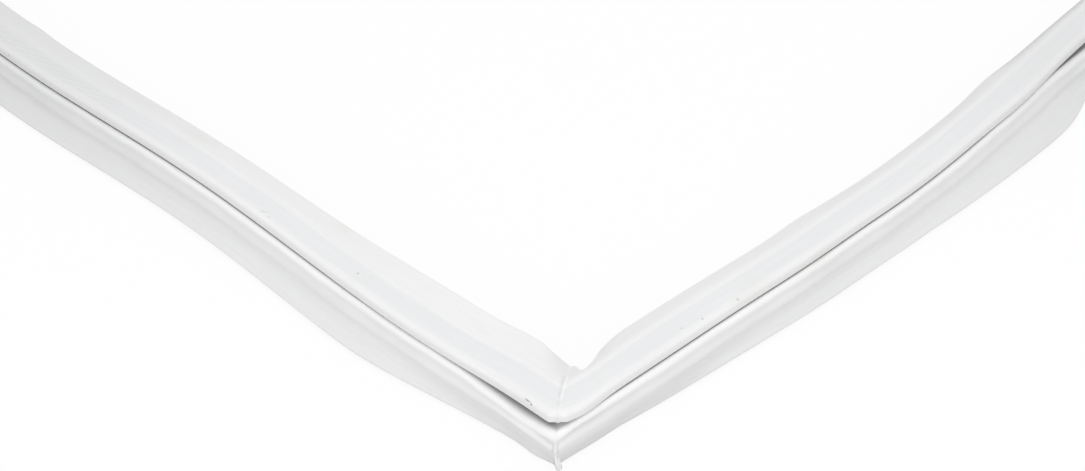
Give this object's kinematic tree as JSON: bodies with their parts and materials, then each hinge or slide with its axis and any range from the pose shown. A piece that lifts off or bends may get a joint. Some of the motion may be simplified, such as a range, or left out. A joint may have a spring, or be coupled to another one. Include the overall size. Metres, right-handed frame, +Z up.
{
  "type": "refrigerator door gasket",
  "caption": "Welded rectangular magnetic door seal of soft white profile, with a flat sealing head, a thin inner lip, a hollow balloon, spread feet and a barbed dart underneath.",
  "frame": {"origin": "middle of the gasket's box in plan, on the surface that it lies on", "axes": "+X along the short front side towards the pictured corner, +Y along the long right side away from it, +Z up out of the sealing face"},
  "size_m": [0.5698, 0.6724, 0.024],
  "materials": {
    "white_pvc": "satin, soft and slightly sheer",
    "bonded_ferrite": "matt"
  },
  "bodies": {
    "root": {"seal_profile": "white_pvc", "magnet_strip_front": "bonded_ferrite", "magnet_strip_right": "bonded_ferrite", "magnet_strip_rear": "bonded_ferrite", "magnet_strip_left": "bonded_ferrite"}
  },
  "joints": []
}
